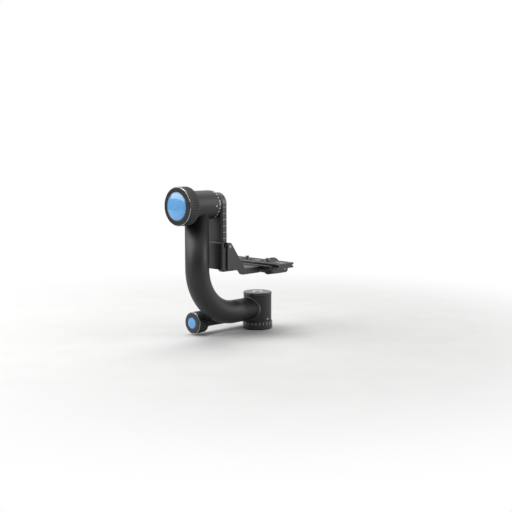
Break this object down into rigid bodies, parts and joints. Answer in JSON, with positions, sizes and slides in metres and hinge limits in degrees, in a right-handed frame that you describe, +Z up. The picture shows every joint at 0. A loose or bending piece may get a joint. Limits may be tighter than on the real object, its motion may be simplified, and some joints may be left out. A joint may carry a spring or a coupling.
{
  "type": "gimbal tripod head",
  "caption": "J-shaped side-mount gimbal head for a long lens: pan base, tilt axis with lock knob, height-adjustable cradle, dovetail clamp and lens plate.",
  "frame": {"origin": "centre of the base underside, on the pan axis, at the mouth of the tripod thread", "axes": "+Z up along the pan axis; the arm upright stands on the -X side; the tilt axis runs along X; a mounted lens points along -Y"},
  "size_m": [0.2233, 0.128, 0.2436],
  "materials": {
    "black_anodised": "black anodised, satin",
    "arm_paint": "black powder-coated cast aluminium, fine matt",
    "bright_aluminium": "bright turned",
    "steel": "ground and turned steel",
    "brass": "turned brass",
    "grip_rubber": "moulded rubber, matt",
    "badge_blue": "domed blue resin, glossy",
    "gib_plastic": "machined bearing plastic",
    "level_fluid": "clear vial with tinted fluid"
  },
  "bodies": {
    "base": {"base_disc": "black_anodised", "thread_insert": "steel", "pan_scale_ring": "black_anodised", "pan_spindle": "steel", "spindle_screws": "steel", "pan_inner_races": "steel", "pan_retaining_nut": "steel"},
    "arm": {"pan_hub": "arm_paint", "pan_outer_races": "steel", "pan_balls": "steel", "pan_bearing_spacer": "bright_aluminium", "hub_cap": "black_anodised", "level_cup": "bright_aluminium", "level_vial": "level_fluid", "pan_lock_sleeve": "arm_paint", "pan_brake_shoe": "brass", "arm_tube": "arm_paint", "arm_seam_bead": "arm_paint", "tilt_housing": "arm_paint", "tilt_end_cap": "black_anodised", "tilt_outer_races": "steel", "tilt_balls": "steel", "tilt_brake_pad": "brass"},
    "pan_knob": {"pan_knob_core": "black_anodised", "pan_knob_grip": "grip_rubber", "pan_knob_badge": "badge_blue", "pan_lock_screw": "steel"},
    "tilt_knob": {"tilt_knob_core": "black_anodised", "tilt_knob_grip": "grip_rubber", "tilt_knob_badge": "badge_blue", "tilt_lock_screw": "steel"},
    "swing": {"tilt_shaft": "steel", "tilt_inner_races": "steel", "tilt_scale_ring": "black_anodised", "swing_rail": "black_anodised", "rail_screws": "steel", "rail_stop_pin": "steel"},
    "cradle": {"cradle_bracket": "black_anodised", "rear_plate": "black_anodised", "rear_plate_screws": "steel", "gib_strips": "gib_plastic", "gib_screws": "steel", "height_lock_pad": "brass", "clamp_base": "black_anodised", "clamp_base_screws": "steel"},
    "height_knob": {"height_knob_core": "black_anodised", "height_knob_grip": "grip_rubber", "height_knob_badge": "badge_blue", "height_lock_screw": "steel"},
    "jaw": {"clamp_jaw": "black_anodised", "clamp_guide_pins": "steel"},
    "clamp_knob": {"clamp_knob_core": "black_anodised", "clamp_knob_grip": "grip_rubber", "clamp_knob_badge": "badge_blue", "clamp_screw": "steel"},
    "lens_plate": {"lens_plate": "black_anodised", "lens_plate_pads": "grip_rubber", "lens_screws": "steel", "plate_stop_screws": "steel"}
  },
  "joints": [
    {"name": "pan", "type": "hinge", "parent": "base", "child": "arm", "pos_m": [0, 0, 0], "axis": [0, 0, 1], "continuous": true},
    {"name": "pan_lock", "type": "hinge", "parent": "arm", "child": "pan_knob", "pos_m": [-0.11, 0.0305, 0.0205], "axis": [1, 0, 0], "range_deg": [0, 270]},
    {"name": "tilt_lock", "type": "hinge", "parent": "arm", "child": "tilt_knob", "pos_m": [-0.165, 0, 0.2134], "axis": [1, 0, 0], "range_deg": [0, 270]},
    {"name": "tilt", "type": "hinge", "parent": "arm", "child": "swing", "pos_m": [-0.11, 0, 0.2134], "axis": [1, 0, 0], "continuous": true},
    {"name": "height", "type": "slide", "parent": "swing", "child": "cradle", "axis": [0, 0, 1], "range_m": [0, 0.033]},
    {"name": "height_lock", "type": "hinge", "parent": "cradle", "child": "height_knob", "pos_m": [-0.09575, 0.04, 0.1324], "axis": [0, 1, 0], "range_deg": [0, 270]},
    {"name": "clamp_jaw_slide", "type": "slide", "parent": "cradle", "child": "jaw", "axis": [1, 0, 0], "range_m": [0, 0.003]},
    {"name": "clamp_lock", "type": "hinge", "parent": "jaw", "child": "clamp_knob", "pos_m": [0.035, 0, 0.1024], "axis": [1, 0, 0], "range_deg": [0, 720]},
    {"name": "plate_slide", "type": "slide", "parent": "cradle", "child": "lens_plate", "axis": [0, 1, 0], "range_m": [-0.006, 0.006]}
  ],
  "couplings": [
    {"joint": "clamp_lock", "follows": "clamp_jaw_slide", "rad_per_m": 4188}
  ]
}
